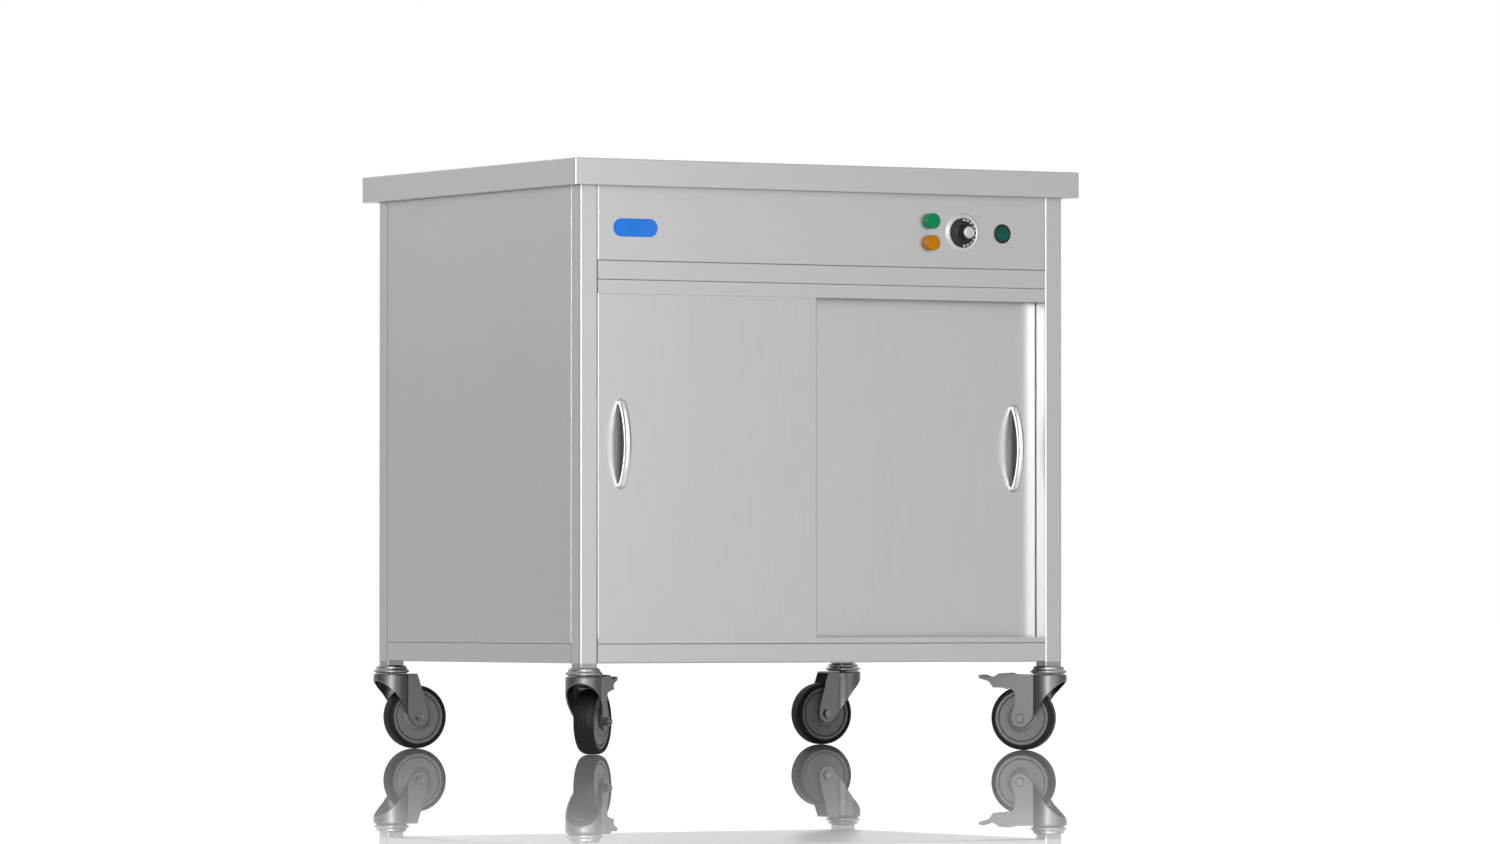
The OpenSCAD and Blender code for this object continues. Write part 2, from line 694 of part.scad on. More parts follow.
// Moulded wheel centre: boss, dished disc, groove and rim
module hub() translate([trail, 0, axle_z]) rotate([-90, 0, 0]) rotate_extrude() difference() {
    union() {
        for (s = [-1, 1]) {
            translate([0, s > 0 ? 0 : -leg_in + 0.3]) square([7, leg_in - 0.3]);
            translate([0, s > 0 ? 0 : -14]) square([20.5, 14]);
            translate([0, s > 0 ? 0 : -12]) square([36, 12]);
            translate([0, s > 0 ? 0 : -8]) square([38, 8]);
            translate([37.4, s > 0 ? 0 : -13.5]) square([rim_r - 37.4, 13.5]);
        }
    }
    translate([-1, -30]) square([1 + axle_r + 0.08, 60]);
}

module tyre() {
    shoulder = 6.5;
    translate([trail, 0, axle_z]) rotate([-90, 0, 0]) rotate_extrude($fn = 96) {
        translate([rim_r, -tyre_w / 2 + shoulder]) square([wheel_r - rim_r, tyre_w - 2 * shoulder]);
        translate([rim_r, -tyre_w / 2]) square([wheel_r - rim_r - shoulder, tyre_w]);
        for (s = [-1, 1]) intersection() {
            translate([wheel_r - shoulder, s * (tyre_w / 2 - shoulder)]) circle(shoulder);
            translate([rim_r, -tyre_w]) square([20, 2 * tyre_w]);
        }
    }
}

// Brake pedal: a channel that turns on the fork's pin, with a toe plate and a shoe over the tyre
pedal_outline = [[41, 104], [41, 115.5], [44, plate_z], [54, 118.3], [60, 120.6], [75, 119.7],
    [86, 113], [92, 113.3], [104, 117.6], [107.6, 116.6], [108.5, 114], [106, 111.4], [92, 107.2],
    [84.5, 97.2], [80, 97.5], [72, 103], [60, 103], [59, 100.4], [56, 100.4], [54, 104]];

module pedal() {
    half = leg_in - 0.4;
    difference() {
        across(half) polygon(pedal_outline);
        // hollow underneath, closed by the top, the toe and the shoe
        across(half - 2.2) polygon([[60.5, 90], [60.5, 118], [75, 117], [85, 110.4], [91, 108],
                                    [84, 95], [84, 90]]);
        translate([pedal_pin[0], 0, pedal_pin[1]]) rotate([90, 0, 0])
            cylinder(r = 2.56, h = 60, center = true);
    }
}

// ---------------------------------------------------------------- nodes

corner_posts();
bottom_frame();
top_frame();
worktop();
side_panel(-1);  // side_panel_left
side_panel(1);  // side_panel_right
back_panel();
base_pan();
chamber_liner();
chamber_floor();
chamber_roof();
insulation();
control_fascia();
top_track();
bottom_track();
shelf();
shelf_supports();
heating_element();
terminal_block();
cable_gland();
badge();
lamp_green();
lamp_amber();
lamp_housings();
thermostat();
dial_bezel();
dial_spindle();
dial_knob();
dial_cap();
switch_housing();
switch_button();
panel_screws();
door_skin(door_left_x, front_plane, door_left_w);  // door_left_skin
door_back(door_left_x, front_plane, door_left_w);  // door_left_back
door_glides(door_left_x, front_plane, door_left_w);  // door_left_glides
bow_handle(door_left_x + handle_in, front_plane);  // handle_left
door_skin(door_right_x, rear_plane, door_right_w);  // door_right_skin
door_back(door_right_x, rear_plane, door_right_w);  // door_right_back
door_glides(door_right_x, rear_plane, door_right_w);  // door_right_glides
bow_handle(door_right_x + door_right_w - handle_in, rear_plane);  // handle_right
castor_stems();
color("gray") at_castor(0) fork(true);  // fork_front_left
color("silver") at_castor(0) axle();  // axle_front_left
color("dimgray") at_castor(0) hub();  // hub_front_left
color("#202020") at_castor(0) tyre();  // tyre_front_left
color("gray") at_castor(0) pedal();  // pedal_front_left
color("gray") at_castor(1) fork(true);  // fork_front_right
color("silver") at_castor(1) axle();  // axle_front_right
color("dimgray") at_castor(1) hub();  // hub_front_right
color("#202020") at_castor(1) tyre();  // tyre_front_right
color("gray") at_castor(1) pedal();  // pedal_front_right
color("gray") at_castor(2) fork(false);  // fork_rear_left
color("silver") at_castor(2) axle();  // axle_rear_left
color("dimgray") at_castor(2) hub();  // hub_rear_left
color("#202020") at_castor(2) tyre();  // tyre_rear_left
color("gray") at_castor(3) fork(false);  // fork_rear_right
color("silver") at_castor(3) axle();  // axle_rear_right
color("dimgray") at_castor(3) hub();  // hub_rear_right
color("#202020") at_castor(3) tyre();  // tyre_rear_right
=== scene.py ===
# %% [markdown]
# # A mobile hot cupboard in brushed stainless steel
# The cabinet's frame, sheet metal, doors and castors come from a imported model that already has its
# true sizes. This lesson gives every part its finish, and builds again, in finer detail, the pieces
# that the hand and the eye go to: handles, dial, lamps, switch, badge and wheels.

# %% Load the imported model
import json
import math

import bmesh
import bpy
from mathutils import Matrix, Vector


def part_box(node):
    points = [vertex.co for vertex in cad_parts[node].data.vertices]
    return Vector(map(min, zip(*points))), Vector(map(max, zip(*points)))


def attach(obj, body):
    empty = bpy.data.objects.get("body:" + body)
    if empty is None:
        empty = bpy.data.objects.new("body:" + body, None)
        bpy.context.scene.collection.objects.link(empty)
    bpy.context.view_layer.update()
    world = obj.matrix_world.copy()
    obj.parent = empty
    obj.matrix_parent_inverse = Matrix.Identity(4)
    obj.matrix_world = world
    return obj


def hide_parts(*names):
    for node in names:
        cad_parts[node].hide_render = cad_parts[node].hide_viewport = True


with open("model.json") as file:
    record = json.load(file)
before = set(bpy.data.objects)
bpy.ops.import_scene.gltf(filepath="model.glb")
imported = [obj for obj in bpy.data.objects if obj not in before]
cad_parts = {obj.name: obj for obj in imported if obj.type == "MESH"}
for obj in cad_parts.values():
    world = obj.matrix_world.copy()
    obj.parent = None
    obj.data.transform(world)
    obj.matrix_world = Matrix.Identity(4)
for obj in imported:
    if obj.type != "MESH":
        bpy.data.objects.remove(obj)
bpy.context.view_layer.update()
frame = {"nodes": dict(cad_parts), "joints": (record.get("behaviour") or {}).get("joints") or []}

MM = 0.001
nodes = frame["nodes"]
joints = {joint["name"]: joint for joint in frame["joints"]}
CORNERS = ("front_left", "front_right", "rear_left", "rear_right")

# %% [markdown]
# ## Camera
# The view is a long lens from a low stand, 30 degrees to the left of the front. A long lens keeps the
# posts parallel. The camera is 13 m away, a hand's breadth above the castors, and tips up by about
# one degree.

# %% Place the camera
CAMERA_POSITION = (-6.42604, -11.26880, 0.23346)
CAMERA_YAW = 0.52208
CAMERA_PITCH = 0.02152
CAMERA_LENS_MM = 198.72
CAMERA_SENSOR_MM = 36
CAMERA_REACH_M = 200

camera_data = bpy.data.cameras.new("camera")
camera_data.lens = CAMERA_LENS_MM
camera_data.sensor_width = CAMERA_SENSOR_MM
camera_data.clip_end = CAMERA_REACH_M
camera = bpy.data.objects.new("camera", camera_data)
camera.location = CAMERA_POSITION
camera.rotation_euler = (math.pi / 2 + CAMERA_PITCH, 0, -CAMERA_YAW)
bpy.context.scene.collection.objects.link(camera)
bpy.context.scene.camera = camera
print("camera at", CAMERA_POSITION)

# %% [markdown]
# ## Helpers for colours and nodes
# Paint and plastic colours are written as hex values, the way a colour chart gives them. Shaders
# work in linear light, so one function converts them. A second one adds a node, with its settings
# and its links, so that a material reads as a list of what it is made of.

# %% Colour and node helpers
def linear(hex_colour):
    """Linear RGBA of an sRGB hex colour."""
    values = []
    for i in (0, 2, 4):
        c = int(hex_colour[i:i + 2], 16) / 255
        values.append(c / 12.92 if c <= 0.04045 else ((c + 0.055) / 1.055) ** 2.4)
    return (*values, 1.0)


def add(tree, kind, settings=None, **links):
    """Adds a node. settings are attributes or socket values by name; links are sockets to connect."""
    made = tree.nodes.new(kind)
    for key, value in (settings or {}).items():
        if isinstance(key, str) and hasattr(made, key):
            setattr(made, key, value)
        else:
            made.inputs[key].default_value = value
    for key, source in links.items():
        target = made.inputs[int(key[1:])] if key[0] == "_" else made.inputs[key.replace("_", " ")]
        tree.links.new(source, target)
    return made


def new_material(name, shader):
    """A material with one Principled shader, whose uniform values are set on its own sockets."""
    material = bpy.data.materials.new(name)
    material.use_nodes = True
    tree = material.node_tree
    tree.nodes.clear()
    principled = add(tree, "ShaderNodeBsdfPrincipled", shader)
    output = add(tree, "ShaderNodeOutputMaterial")
    tree.links.new(principled.outputs["BSDF"], output.inputs["Surface"])
    return material, tree, principled


def ramp(tree, source, stops):
    """A colour ramp from (place, colour) stops."""
    made = add(tree, "ShaderNodeValToRGB", None, Fac=source)
    elements = made.color_ramp.elements
    while len(elements) < len(stops):
        elements.new(0.5)
    for element, (place, colour) in zip(elements, stops):
        element.position = place
        element.color = colour
    return made.outputs["Color"]


def spread(tree, source, low, high):
    """Maps a value of 0 to 1 onto low to high."""
    made = add(tree, "ShaderNodeMapRange", {"To Min": low, "To Max": high}, Value=source)
    return made.outputs["Result"]


print("helpers ready")

# %% [markdown]
# ## Brushed stainless steel
# The sheet and tube are 1.4301 stainless steel, ground with a 240-grit belt. Each scratch is about
# 0.05 mm wide and some 60 mm long. The scratches spread a reflection across the grain and keep it
# soft, so the steel shows smooth grey gradients in place of a mirror image. Anisotropy would do the
# same with a tangent map. Stretched noise works on any mesh, so it is used here. At a distance of
# 13 m real scratches vanish, so they are drawn 0.7 mm wide, and faint.

# %% Brushed steel, with its grain along one direction
GRAIN_MM = 0.7
GRAIN_LENGTH_MM = 60
GRAIN_DEPTH_MM = 0.02
GRAIN_BUMP = 0.06
GLOSS_DRIFT = 0.05
HANDLING_SCALE = 5.0
HANDLING_SHARE = 0.4
STEEL = "C7C7C7"
STEEL_WORN = "BFBFBF"


def brushed_steel(name, along, roughness, colours=(STEEL_WORN, STEEL)):
    """Satin steel whose scratches run along X, Y or Z, or along any level direction with "XY"."""
    material, tree, shader = new_material(name, {"Metallic": 1.0, "Roughness": roughness})
    place = add(tree, "ShaderNodeTexCoord").outputs["Object"]
    across, length = 1 / (GRAIN_MM * MM), 1 / (GRAIN_LENGTH_MM * MM)
    scale = [length if axis in along else across for axis in "XYZ"]
    stretched = add(tree, "ShaderNodeVectorMath", {"operation": "MULTIPLY"}, _0=place)
    stretched.inputs[1].default_value = scale
    grain = add(tree, "ShaderNodeTexNoise", {"Scale": 1.0, "Detail": 3.0, "Roughness": 0.6},
                Vector=stretched.outputs["Vector"]).outputs["Fac"]
    handled = add(tree, "ShaderNodeTexNoise", {"Scale": HANDLING_SCALE, "Detail": 2.0},
                  Vector=place).outputs["Fac"]
    tree.links.new(ramp(tree, grain, [(0.25, linear(colours[0])), (0.75, linear(colours[1]))]),
                   shader.inputs["Base Color"])
    both = add(tree, "ShaderNodeMix", {"Factor": HANDLING_SHARE}, _2=grain, _3=handled).outputs[0]
    tree.links.new(spread(tree, both, roughness - GLOSS_DRIFT, roughness + GLOSS_DRIFT),
                   shader.inputs["Roughness"])
    bump = add(tree, "ShaderNodeBump", {"Strength": GRAIN_BUMP, "Distance": GRAIN_DEPTH_MM * MM},
               Height=grain)
    tree.links.new(bump.outputs["Normal"], shader.inputs["Normal"])
    return material


steel_upright = brushed_steel("stainless_brushed_upright", "Z", 0.34)
steel_level = brushed_steel("stainless_brushed_level", "XY", 0.34)
steel_worktop = brushed_steel("stainless_brushed_worktop", "X", 0.32)
steel_mill = brushed_steel("stainless_mill_finish", "XY", 0.28, ("B4B4B4", "BEBEBE"))
print("brushed steel: 4 finishes")

# %% [markdown]
# ## Chrome, zinc plate and aluminium
# The handles and the dial's ring are zinc castings, polished and plated with chromium: nearly a
# mirror, slightly clouded by handling. The plate behind each bow is a dark dull grey: painted
# shade for the gap behind the bow. The castors are pressed steel with a bright zinc plate,
# which is darker and greyer, with a faint crystalline mottle about 6 mm across. Metals keep the
# default IOR, because their colour already says how much they reflect.

# %% Plated metals
MOTTLE_BUMP = 0.05
MOTTLE_DEPTH_MM = 0.05


def plated_metal(name, colours, roughness, mottle_mm):
    """Plate with a soft mottle in its colour and its gloss."""
    material, tree, shader = new_material(name, {"Metallic": 1.0, "Roughness": roughness[0]})
    place = add(tree, "ShaderNodeTexCoord").outputs["Object"]
    mottle = add(tree, "ShaderNodeTexNoise", {"Scale": 1 / (mottle_mm * MM), "Detail": 4.0},
                 Vector=place).outputs["Fac"]
    tree.links.new(ramp(tree, mottle, [(0.3, linear(colours[0])), (0.7, linear(colours[1]))]),
                   shader.inputs["Base Color"])
    tree.links.new(spread(tree, mottle, *roughness), shader.inputs["Roughness"])
    bump = add(tree, "ShaderNodeBump", {"Strength": MOTTLE_BUMP, "Distance": MOTTLE_DEPTH_MM * MM},
               Height=mottle)
    tree.links.new(bump.outputs["Normal"], shader.inputs["Normal"])
    return material


chrome = plated_metal("chrome_plated_casting", ("D9DADB", "E3E4E5"), (0.07, 0.13), 4)
satin_chrome = plated_metal("chrome_plated_ring_satin", ("CFD0D0", "D9DADA"), (0.20, 0.27), 3)
# The handle plates' dark grey is painted shade for the gap behind each bow.
zinc_painted_shade = plated_metal("zinc_casting_painted_shade", ("5C5C5C", "666666"), (0.45, 0.55), 5)
zinc_plate = plated_metal("bright_zinc_plate", ("747475", "787879"), (0.36, 0.42), 6)
zinc_bright = plated_metal("bright_zinc_plate_turned", ("A0A0A1", "A6A6A7"), (0.24, 0.30), 6)
bolt_zinc = plated_metal("zinc_plated_bolt", ("7A7A7B", "828283"), (0.28, 0.36), 3)
aluminium_cap = plated_metal("satin_anodised_aluminium", ("C4C5C6", "CDCECF"), (0.30, 0.36), 2)
element_sheath = plated_metal("heat_darkened_sheath", ("4A3F38", "6A625C"), (0.45, 0.60), 8)
print("plated metals: 8 finishes")

# %% [markdown]
# ## Plastics and rubber
# The knob, switch and gland are moulded ABS and nylon, with a fine spark-eroded grain of about
# 0.5 mm. The wheel centres are grey polypropylene, and the tyres a dark thermoplastic rubber: dull,
# with a broad weak highlight. The lamp lenses are coloured polycarbonate: smooth, and bright at their edges.

# %% Moulded plastics
COLOUR_DRIFT_SCALE = 60.0
MOULD_GLOSS_DRIFT = 0.04
MOULD_BUMP = 0.2


def moulded(name, colours, roughness, grain_mm, depth_mm, gloss=0.5, glow=0.0):
    """Moulded plastic or rubber with a fine grain and a slight drift in colour."""
    settings = {"Specular IOR Level": gloss}
    if glow:
        settings["Emission Color"] = linear(colours[1])
        settings["Emission Strength"] = glow
    material, tree, shader = new_material(name, settings)
    place = add(tree, "ShaderNodeTexCoord").outputs["Object"]
    drift = add(tree, "ShaderNodeTexNoise", {"Scale": COLOUR_DRIFT_SCALE, "Detail": 2.0},
                Vector=place).outputs["Fac"]
    grain = add(tree, "ShaderNodeTexNoise", {"Scale": 1 / (grain_mm * MM), "Detail": 2.0},
                Vector=place).outputs["Fac"]
    tree.links.new(ramp(tree, drift, [(0.3, linear(colours[0])), (0.7, linear(colours[1]))]),
                   shader.inputs["Base Color"])
    tree.links.new(spread(tree, grain, roughness - MOULD_GLOSS_DRIFT, roughness + MOULD_GLOSS_DRIFT),
                   shader.inputs["Roughness"])
    bump = add(tree, "ShaderNodeBump", {"Strength": MOULD_BUMP, "Distance": depth_mm * MM}, Height=grain)
    tree.links.new(bump.outputs["Normal"], shader.inputs["Normal"])
    return material


abs_black = moulded("abs_black_fine_grain", ("141414", "1D1D1D"), 0.42, 0.5, 0.03, gloss=0.3)
rubber = moulded("thermoplastic_rubber", ("0C0C0C", "131313"), 0.55, 0.8, 0.05, gloss=0.25)
wheel_grey = moulded("polypropylene_grey", ("68686A", "6E6F70"), 0.42, 0.6, 0.03, gloss=0.35)
lens_green = moulded("polycarbonate_green", ("056A3F", "077145"), 0.22, 1.0, 0.01, gloss=0.08, glow=0.05)
lens_amber = moulded("polycarbonate_amber", ("9B6001", "A36804"), 0.22, 1.0, 0.01, gloss=0.08, glow=0.05)
switch_green = moulded("abs_green_satin", ("0A4439", "0D4B3F"), 0.35, 0.6, 0.02, gloss=0.1)
badge_blue = moulded("stove_enamel_blue", ("1B63BA", "206AC2"), 0.25, 1.5, 0.01, gloss=0.2)
nylon_white = moulded("nylon_natural", ("DAD8CF", "E3E1D8"), 0.48, 0.6, 0.03)
steatite = moulded("steatite_ceramic", ("D9D2BE", "E2DCCB"), 0.45, 0.8, 0.04)
print_white = moulded("screen_print_white", ("F0F0EE", "FAFAF8"), 0.5, 0.4, 0.01)
print("moulded finishes: 10")

# %% [markdown]
# ## Mineral wool
# The insulation is pressed mineral wool: dull yellow-brown, with matted fibres that lie in layers
# about 2 mm thick. One noise, flattened along Z, gives the layers and the fuzz.

# %% Mineral wool
WOOL_STRETCH = (80, 80, 500)
WOOL_BUMP = 0.8
WOOL_DEPTH_MM = 1.5

wool, wool_tree, wool_shader = new_material("mineral_wool", {"Roughness": 0.95, "Sheen Weight": 0.2})
wool_place = add(wool_tree, "ShaderNodeTexCoord").outputs["Object"]
wool_flat = add(wool_tree, "ShaderNodeVectorMath", {"operation": "MULTIPLY"}, _0=wool_place)
wool_flat.inputs[1].default_value = WOOL_STRETCH
wool_fibres = add(wool_tree, "ShaderNodeTexNoise", {"Scale": 1.0, "Detail": 6.0},
                  Vector=wool_flat.outputs["Vector"]).outputs["Fac"]
wool_colour = ramp(wool_tree, wool_fibres, [(0.3, linear("8A7A48")), (0.7, linear("B5A569"))])
wool_tree.links.new(wool_colour, wool_shader.inputs["Base Color"])
wool_bump = add(wool_tree, "ShaderNodeBump", {"Strength": WOOL_BUMP, "Distance": WOOL_DEPTH_MM * MM},
                Height=wool_fibres)
wool_tree.links.new(wool_bump.outputs["Normal"], wool_shader.inputs["Normal"])
print("mineral wool ready")

# %% [markdown]
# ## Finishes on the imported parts
# Posts, doors and side panels were ground upright and rails level, as the sheet and tube came off
# the belt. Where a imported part's shape is already right, it only takes its material.

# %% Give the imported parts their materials
FINISHES = {
    steel_upright: ("corner_posts", "side_panel_left", "side_panel_right", "back_panel",
                    "door_left_skin", "door_right_skin"),
    steel_level: ("bottom_frame", "top_frame", "control_fascia", "top_track", "bottom_track", "base_pan"),
    steel_worktop: ("worktop",),
    steel_mill: ("chamber_liner", "chamber_floor", "chamber_roof", "shelf", "shelf_supports",
                 "door_left_back", "door_right_back"),
    zinc_bright: ("castor_stems",),
    zinc_plate: ("pedal_front_left", "pedal_front_right",
                 *(f"fork_{corner}" for corner in CORNERS)),
    bolt_zinc: ("panel_screws", "thermostat", "dial_spindle"),
    abs_black: ("cable_gland",),
    nylon_white: ("door_left_glides", "door_right_glides"),
    steatite: ("terminal_block", "lamp_housings"),
    element_sheath: ("heating_element",),
    wool: ("insulation",),
}
for finish, names in FINISHES.items():
    for name in names:
        mesh = nodes[name].data
        mesh.materials.clear()
        mesh.materials.append(finish)
print("finished", sum(len(names) for names in FINISHES.values()), "packed parts")

# %% [markdown]
# Sheared and pressed steel has a small roll at every edge. It shows as a fine bright line round the
# forks and the pedals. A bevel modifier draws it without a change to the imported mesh.

# %% Roll the pressed edges
EDGE_ROLL = 0.5 * MM
EDGE_STEPS = 2
EDGE_ANGLE = math.radians(35)
pressed = [f"fork_{corner}" for corner in CORNERS] + ["pedal_front_left", "pedal_front_right"]
for name in pressed:
    roll = nodes[name].modifiers.new("edge_roll", "BEVEL")
    roll.width = EDGE_ROLL
    roll.segments = EDGE_STEPS
    roll.limit_method = "ANGLE"
    roll.angle_limit = EDGE_ANGLE
    roll.harden_normals = True
print("edges rolled on", len(pressed), "parts")

# %% [markdown]
# ## Turned pieces
# Wheels, tyres, lenses and knobs are all round. A real one is turned or moulded to one outline, so
# each is made here by turning an outline about its axis. Every corner of an outline carries its own
# small radius, because a moulded edge is never sharp and its radius is what catches the light.

# %% Round an outline's corners, and turn it into a piece
ON_AXIS = 1e-6


def rounded(outline, steps=4):
    """Points of an outline of (radius, height, corner radius) in millimetres, corners as arcs."""
    points = []
    for i, (x, y, corner) in enumerate(outline):
        here = Vector((x, y))
        if corner == 0 or i in (0, len(outline) - 1):
            points.append(here)
            continue
        before = Vector(outline[i - 1][:2]) - here
        after = Vector(outline[i + 1][:2]) - here
        cut = min(corner, before.length * 0.49, after.length * 0.49)
        start, end = here + before.normalized() * cut, here + after.normalized() * cut
        for k in range(steps + 1):
            t = k / steps
            points.append(start * (1 - t) ** 2 + here * 2 * t * (1 - t) + end * t ** 2)
    return points


def frame_of(origin, axis):
    """Matrix that puts a turned piece's own Z along axis, at origin."""
    out = Vector(axis).normalized()
    side = Vector((0, 0, 1)).cross(out)
    side = side.normalized() if side.length > 0.1 else Vector((1, 0, 0))
    up = out.cross(side)
    return Matrix.Translation(Vector(origin)) @ Matrix((side, up, out)).transposed().to_4x4()


def piece_from(name, mesh_data, material, body, replaced=(), sharp_degrees=40):
    """Smooths a mesh between its sharp edges and makes it a piece of the cabinet."""
    mesh = bpy.data.meshes.new(name)
    bmesh.ops.recalc_face_normals(mesh_data, faces=mesh_data.faces[:])
    mesh_data.to_mesh(mesh)
    mesh_data.free()
    mesh.shade_smooth()
    mesh.set_sharp_from_angle(angle=math.radians(sharp_degrees))
    mesh.materials.append(material)
    piece = bpy.data.objects.new(name, mesh)
    bpy.context.scene.collection.objects.link(piece)
    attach(piece, body)
    if replaced:
        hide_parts(*replaced)
    return piece


def turned(outline, place, segments=96, flutes=None):
    """Mesh of an outline turned about Z. Ends on the axis close up, and other ends meet each other."""
    made = bmesh.new()
    points = rounded(outline)
    rings = []
    for x, y in points:
        if x < ON_AXIS:
            rings.append([made.verts.new(place @ Vector((0, 0, y * MM)))])
            continue
        ring = []
        for k in range(segments):
            turn = 2 * math.pi * k / segments
            r = x - (flutes(turn, y) if flutes else 0)
            point = Vector((r * math.cos(turn), r * math.sin(turn), y)) * MM
            ring.append(made.verts.new(place @ point))
        rings.append(ring)
    closed = len(rings[0]) > 1 and len(rings[-1]) > 1
    pairs = list(zip(rings, rings[1:])) + ([(rings[-1], rings[0])] if closed else [])
    for a, b in pairs:
        for k in range(segments):
            n = (k + 1) % segments
            corners = [a[k % len(a)], a[n % len(a)], b[n % len(b)], b[k % len(b)]]
            face = list(dict.fromkeys(corners))
            if len(face) > 2:
                made.faces.new(face)
    return made


def front_centre(node):
    """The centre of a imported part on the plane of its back, and its width, height and reach in mm."""
    low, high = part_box(node)
    centre = ((low.x + high.x) / 2, high.y, (low.z + high.z) / 2)
    return centre, (high.x - low.x) / MM, (high.z - low.z) / MM, (high.y - low.y) / MM


def join_rings(made, rings):
    """Faces between rings of equal count, and a lid on the first and the last."""
    count = len(rings[0])
    for a, b in zip(rings, rings[1:]):
        for k in range(count):
            made.faces.new((a[k], a[(k + 1) % count], b[(k + 1) % count], b[k]))
    made.faces.new(rings[0][::-1])
    made.faces.new(rings[-1])


print("turning helpers ready")

# %% [markdown]
# ## Wheels
# A 100 mm castor wheel is a grey polypropylene centre with a rubber tyre moulded round it. The
# centre has a boss for the bolt, a shallow dish, a groove and a raised rim. The tyre has rounded
# shoulders, a parting line in the middle of its tread, and a small bead on each sidewall.

# %% Turn the wheels
TYRE_RADIUS = 50
TYRE_HALF = 16
RIM_RADIUS = 42.5
HUB_HALF = 17.9
BORE = 4.1


def both_sides(half):
    """An outline for one side of a wheel, followed by its mirror image."""
    return half + [(r, -h, corner) for r, h, corner in reversed(half)]


TYRE = both_sides([
    (RIM_RADIUS, TYRE_HALF - 2.2, 0), (RIM_RADIUS + 0.6, TYRE_HALF - 0.6, 0.6),
    (RIM_RADIUS + 1.8, TYRE_HALF, 0.6), (RIM_RADIUS + 2.8, TYRE_HALF - 0.5, 0.5),
    (TYRE_RADIUS - 3.2, TYRE_HALF - 0.7, 2.6), (TYRE_RADIUS - 0.8, TYRE_HALF - 4.6, 3.5),
    (TYRE_RADIUS - 0.15, TYRE_HALF - 9, 2), (TYRE_RADIUS - 0.15, 0.7, 0.2), (TYRE_RADIUS, 0.35, 0.2)])
HUB = both_sides([
    (BORE, HUB_HALF, 0), (6.6, HUB_HALF, 0.5), (7, 14.2, 0.5), (18.6, 14, 0.8), (20.5, 12.4, 0.8),
    (22.5, 11.2, 1.5), (30, 11.4, 3), (35.4, 12, 0.6), (36, 8.2, 0.4), (37.4, 8.2, 0.4),
    (37.9, 13.2, 0.5), (41.6, 13.5, 0.6), (RIM_RADIUS, 12.6, 0)])
for corner in CORNERS:
    spin = joints[f"wheel_{corner}_spin"]
    place = frame_of(spin["pos_m"], spin["axis"])
    body = f"wheel_{corner}"
    piece_from(f"tyre_{corner}_moulded", turned(TYRE, place), rubber, body, (f"tyre_{corner}",))
    piece_from(f"hub_{corner}_moulded", turned(HUB, place), wheel_grey, body,
               (f"hub_{corner}",))
print("wheels turned:", len(CORNERS))

# %% [markdown]
# Each wheel turns on an M8 bolt with a hexagon head on one side of the fork and a lock nut on the
# other. The corners of both hexagons are chamfered, as they come from the header.

# %% Make the axle bolts
FORK_HALF = 20.7
BOLT_RADIUS = 4
HEXAGON = 7.4
CHAMFER = 0.9
HEAD_TOP = FORK_HALF + 4.9
NUT_TOP = -FORK_HALF - 6.4
BOLT_END = -FORK_HALF - 10.4
END_CHAMFER = 0.8
SHANK_RADIUS = BOLT_RADIUS - 0.02
HEAD = [(0, FORK_HALF, 0), (HEXAGON, FORK_HALF, 0), (HEXAGON, HEAD_TOP - CHAMFER, 0),
        (HEXAGON - CHAMFER, HEAD_TOP, 0), (0, HEAD_TOP, 0)]
NUT = [(BOLT_RADIUS, NUT_TOP, 0), (HEXAGON - CHAMFER, NUT_TOP, 0), (HEXAGON, NUT_TOP + END_CHAMFER, 0),
       (HEXAGON, -FORK_HALF, 0), (BOLT_RADIUS, -FORK_HALF, 0)]
SHANK = [(0, BOLT_END, 0), (BOLT_RADIUS - 0.7, BOLT_END, 0), (SHANK_RADIUS, BOLT_END + END_CHAMFER, 0),
         (SHANK_RADIUS, FORK_HALF, 0), (0, FORK_HALF, 0)]
for corner in CORNERS:
    spin = joints[f"wheel_{corner}_spin"]
    centre = Vector(spin["pos_m"])
    low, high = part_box(f"axle_{corner}")
    axis = Vector(spin["axis"]).normalized()
    if ((low + high) / 2 - centre).dot(axis) > 0:  # the nut's side is the longer one
        axis = -axis
    place = frame_of(centre, axis)
    bolt = turned(HEAD, place, 6)
    for outline, sides in ((NUT, 6), (SHANK, 32)):
        part = turned(outline, place, sides)
        carried = bpy.data.meshes.new("part")
        part.to_mesh(carried)
        part.free()
        bolt.from_mesh(carried)
        bpy.data.meshes.remove(carried)
    piece_from(f"axle_{corner}_bolt", bolt, bolt_zinc, f"castor_{corner}",
               (f"axle_{corner}",), sharp_degrees=25)
print("axle bolts:", len(CORNERS))

# %% [markdown]
# ## Pilot lamps and switch
# Each lamp is a coloured lens with a collar, a narrow groove and a flat face with a soft edge. The
# switch is a black ring round a green button that lies almost flush in it, so the hand finds the
# ring before it presses the button.

# %% Turn the lamps and the switch
OUTWARDS = (0, -1, 0)

for colour, finish in (("green", lens_green), ("amber", lens_amber)):
    centre, width, _, h = front_centre(f"lamp_{colour}")
    r = width / 2
    lens = [(0, 0, 0), (r, 0, 0.2), (r, 2.2, 0.4), (r - 0.9, 2.6, 0.2), (r - 0.9, 3.2, 0.2),
            (r, 3.6, 0.4), (r, h - 1, 0.5), (r - 1.1, h, 0.8), (r - 2.2, h - 0.12, 0.5), (0, h - 0.05, 0)]
    piece_from(f"lamp_{colour}_lens", turned(lens, frame_of(centre, OUTWARDS)), finish, "cabinet",
               (f"lamp_{colour}",))

